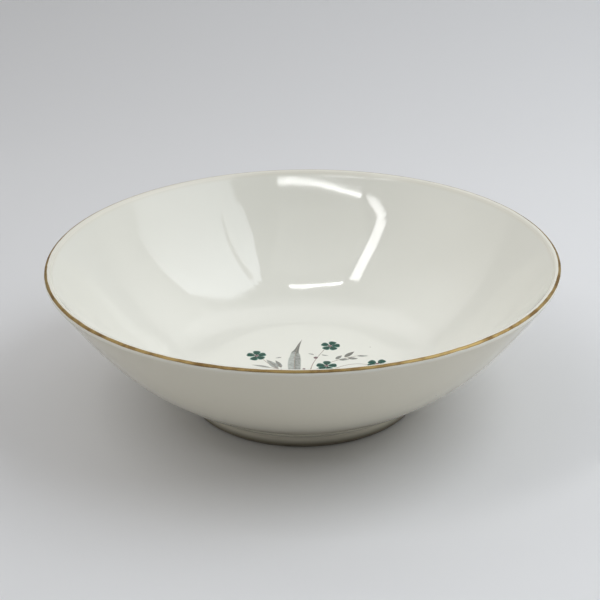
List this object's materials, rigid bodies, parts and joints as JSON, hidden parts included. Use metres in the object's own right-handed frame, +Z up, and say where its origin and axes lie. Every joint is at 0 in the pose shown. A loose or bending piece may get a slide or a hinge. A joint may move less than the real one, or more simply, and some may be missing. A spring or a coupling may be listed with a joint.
{
  "type": "serving bowl",
  "caption": "Round porcelain coupe serving bowl with a rolled lip, a gold line on the lip, a short foot ring and a spray of flowers printed in the well.",
  "frame": {"origin": "centre of the foot ring, on the surface that the bowl stands on", "axes": "+Z up along the bowl's axis; the flower print is read from the -Y side, with +X to its right"},
  "size_m": [0.23, 0.23, 0.07],
  "materials": {
    "bisque": "matte",
    "glaze": "gloss",
    "gold": "gloss",
    "teal_enamel": "gloss",
    "mauve_enamel": "gloss",
    "grey_enamel": "gloss",
    "brown_enamel": "gloss"
  },
  "bodies": {
    "root": {"bowl_body": "bisque", "foot_ring": "bisque", "glaze_coat": "glaze", "recess_glaze": "glaze", "gold_line": "gold", "flower_1_petals": "teal_enamel", "flower_2_petals": "teal_enamel", "flower_3_petals": "teal_enamel", "flower_4_petals": "teal_enamel", "flower_5_petals": "teal_enamel", "flower_6_petals": "teal_enamel", "flower_eyes": "mauve_enamel", "buds": "mauve_enamel", "feather_leaf": "grey_enamel", "left_leaves": "grey_enamel", "right_leaves": "grey_enamel", "lower_leaves": "grey_enamel", "leaf_ribs": "brown_enamel", "stems": "brown_enamel"}
  },
  "joints": []
}
